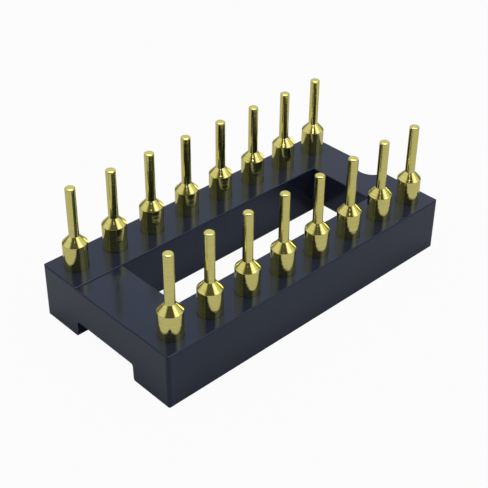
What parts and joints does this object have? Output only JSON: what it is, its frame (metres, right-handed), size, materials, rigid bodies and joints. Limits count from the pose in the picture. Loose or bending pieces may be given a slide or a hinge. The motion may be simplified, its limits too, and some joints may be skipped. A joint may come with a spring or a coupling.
{
  "type": "dip ic socket",
  "caption": "Open-frame turned-pin socket for a dual in-line integrated circuit, with round solder tails, spring clips and a polarity notch.",
  "frame": {"origin": "centre of the resting face, which is the face that takes the circuit, midway between the rows and between the ends", "axes": "+X along the rows towards the notched end, +Y across from the row of contacts 1 to 8 to the row of contacts 9 to 16, +Z from the circuit's face to the board's face and out along the solder tails"},
  "size_m": [0.0204, 0.0102, 0.0081],
  "materials": {
    "housing": "moulded black thermoplastic polyester, semi-gloss",
    "sleeve": "turned brass, gold plated, bright",
    "clip": "stamped copper alloy, gold plated"
  },
  "bodies": {
    "root": {"contact_clip_01": "clip", "contact_clip_02": "clip", "contact_clip_03": "clip", "contact_clip_04": "clip", "contact_clip_05": "clip", "contact_clip_06": "clip", "contact_clip_07": "clip", "contact_clip_08": "clip", "contact_clip_09": "clip", "contact_clip_10": "clip", "contact_clip_11": "clip", "contact_clip_12": "clip", "contact_clip_13": "clip", "contact_clip_14": "clip", "contact_clip_15": "clip", "contact_clip_16": "clip", "contact_sleeve_01": "sleeve", "contact_sleeve_02": "sleeve", "contact_sleeve_03": "sleeve", "contact_sleeve_04": "sleeve", "contact_sleeve_05": "sleeve", "contact_sleeve_06": "sleeve", "contact_sleeve_07": "sleeve", "contact_sleeve_08": "sleeve", "contact_sleeve_09": "sleeve", "contact_sleeve_10": "sleeve", "contact_sleeve_11": "sleeve", "contact_sleeve_12": "sleeve", "contact_sleeve_13": "sleeve", "contact_sleeve_14": "sleeve", "contact_sleeve_15": "sleeve", "contact_sleeve_16": "sleeve", "housing": "housing"}
  },
  "joints": []
}
